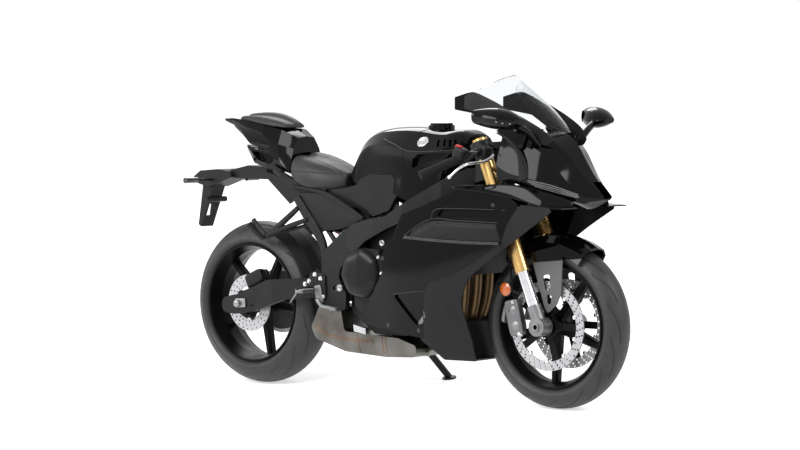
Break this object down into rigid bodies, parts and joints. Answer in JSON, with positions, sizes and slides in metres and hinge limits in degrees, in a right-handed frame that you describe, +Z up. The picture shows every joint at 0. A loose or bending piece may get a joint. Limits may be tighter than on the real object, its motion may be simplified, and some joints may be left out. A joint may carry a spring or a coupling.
{
  "type": "sport motorcycle",
  "caption": "Fully faired sport motorcycle on two cast wheels, leaning on its side stand, with turning steering, wheels, stand and fuel cap.",
  "frame": {"origin": "middle of the bounding box at floor level", "axes": "+X forward along the wheelbase, +Y to the rider's left, +Z up; the machine leans to +Y on its stand"},
  "size_m": [2.0457, 0.727, 1.1769],
  "materials": {
    "gloss": "gloss black paint over moulded panels",
    "matte": "fine-grained matt dark grey mouldings",
    "frame": "satin dark grey painted aluminium castings",
    "engine": "satin black cast alloy cases",
    "cover": "satin graphite cast covers",
    "wheel": "satin black cast wheels",
    "tyre": "black tyre rubber",
    "rubber": "black rubber",
    "gold": "gold anodised tubes",
    "chrome": "hard chrome stanchions",
    "cast_grey": "grey cast and machined aluminium",
    "disc": "drilled stainless discs",
    "steel": "plain steel fittings",
    "exhaust": "brushed stainless with copper weld seams",
    "seat": "black textured seat cover",
    "clear": "clear polycarbonate",
    "lamp": "clear lamp lenses",
    "red": "red lamp lens",
    "amber": "amber lenses",
    "mirror": "black mirror housings"
  },
  "bodies": {
    "root": {"belly_pan": "matte", "chain": "steel", "clutch_cover": "cover", "engine": "engine", "exhaust": "exhaust", "fairing_strip_left": "matte", "fairing_strip_right": "matte", "footrests": "frame", "frame_head": "frame", "frame_left": "frame", "frame_right": "frame", "fuel_tank": "gloss", "generator_cover": "cover", "headlamp": "lamp", "hugger": "matte", "instrument": "matte", "mirrors": "mirror", "nose_cowl": "gloss", "pillion_pegs": "frame", "pillion_seat": "seat", "pivot_shaft": "steel", "plate_hanger": "matte", "position_lamps": "lamp", "radiator": "engine", "rear_axle": "steel", "rear_caliper": "cast_grey", "rear_indicators": "amber", "rider_seat": "seat", "screen": "clear", "shock": "steel", "side_covers": "matte", "side_fairing_left": "gloss", "side_fairing_right": "gloss", "subframe": "frame", "swingarm": "frame", "tail_cowl": "gloss", "tail_lamp": "red", "winglets": "gloss"},
    "steering": {"fork_tubes": "gold", "fork_stanchions": "chrome", "axle_lugs": "cast_grey", "yokes": "frame", "handlebars": "engine", "grips": "rubber", "front_fender": "matte", "front_calipers": "cast_grey", "front_axle": "steel"},
    "front_wheel": {"front_tyre": "tyre", "front_rim": "wheel", "front_disc_left": "disc", "front_disc_right": "disc", "front_disc_carriers": "wheel"},
    "rear_wheel": {"rear_tyre": "tyre", "rear_rim": "wheel", "rear_disc": "disc", "rear_sprocket": "steel"},
    "side_stand": {"side_stand": "engine"},
    "fuel_cap": {"fuel_cap": "wheel"}
  },
  "joints": [
    {"name": "steering", "type": "hinge", "parent": "root", "child": "steering", "pos_m": [0.81678, -0.15559, 0.0008], "axis": [-0.3837, 0.1508, 0.9111], "range_deg": [-27, 27]},
    {"name": "front_wheel_spin", "type": "hinge", "parent": "steering", "child": "front_wheel", "pos_m": [0.72288, -0.1066, 0.2968], "axis": [-0.0001, 0.9866, -0.1633], "continuous": true},
    {"name": "rear_wheel_spin", "type": "hinge", "parent": "root", "child": "rear_wheel", "pos_m": [-0.69712, -0.10415, 0.31205], "axis": [-0.0001, 0.9866, -0.1633], "continuous": true},
    {"name": "side_stand_fold", "type": "hinge", "parent": "root", "child": "side_stand", "pos_m": [-0.06667, 0.00606, 0.21353], "axis": [0.0606, 0.9088, 0.4129], "range_deg": [0, 102.4]},
    {"name": "fuel_cap_hinge", "type": "hinge", "parent": "root", "child": "fuel_cap", "pos_m": [0.2326, 0.00993, 1.00086], "axis": [-0.0001, 0.9866, -0.1633], "range_deg": [0, 95]}
  ]
}
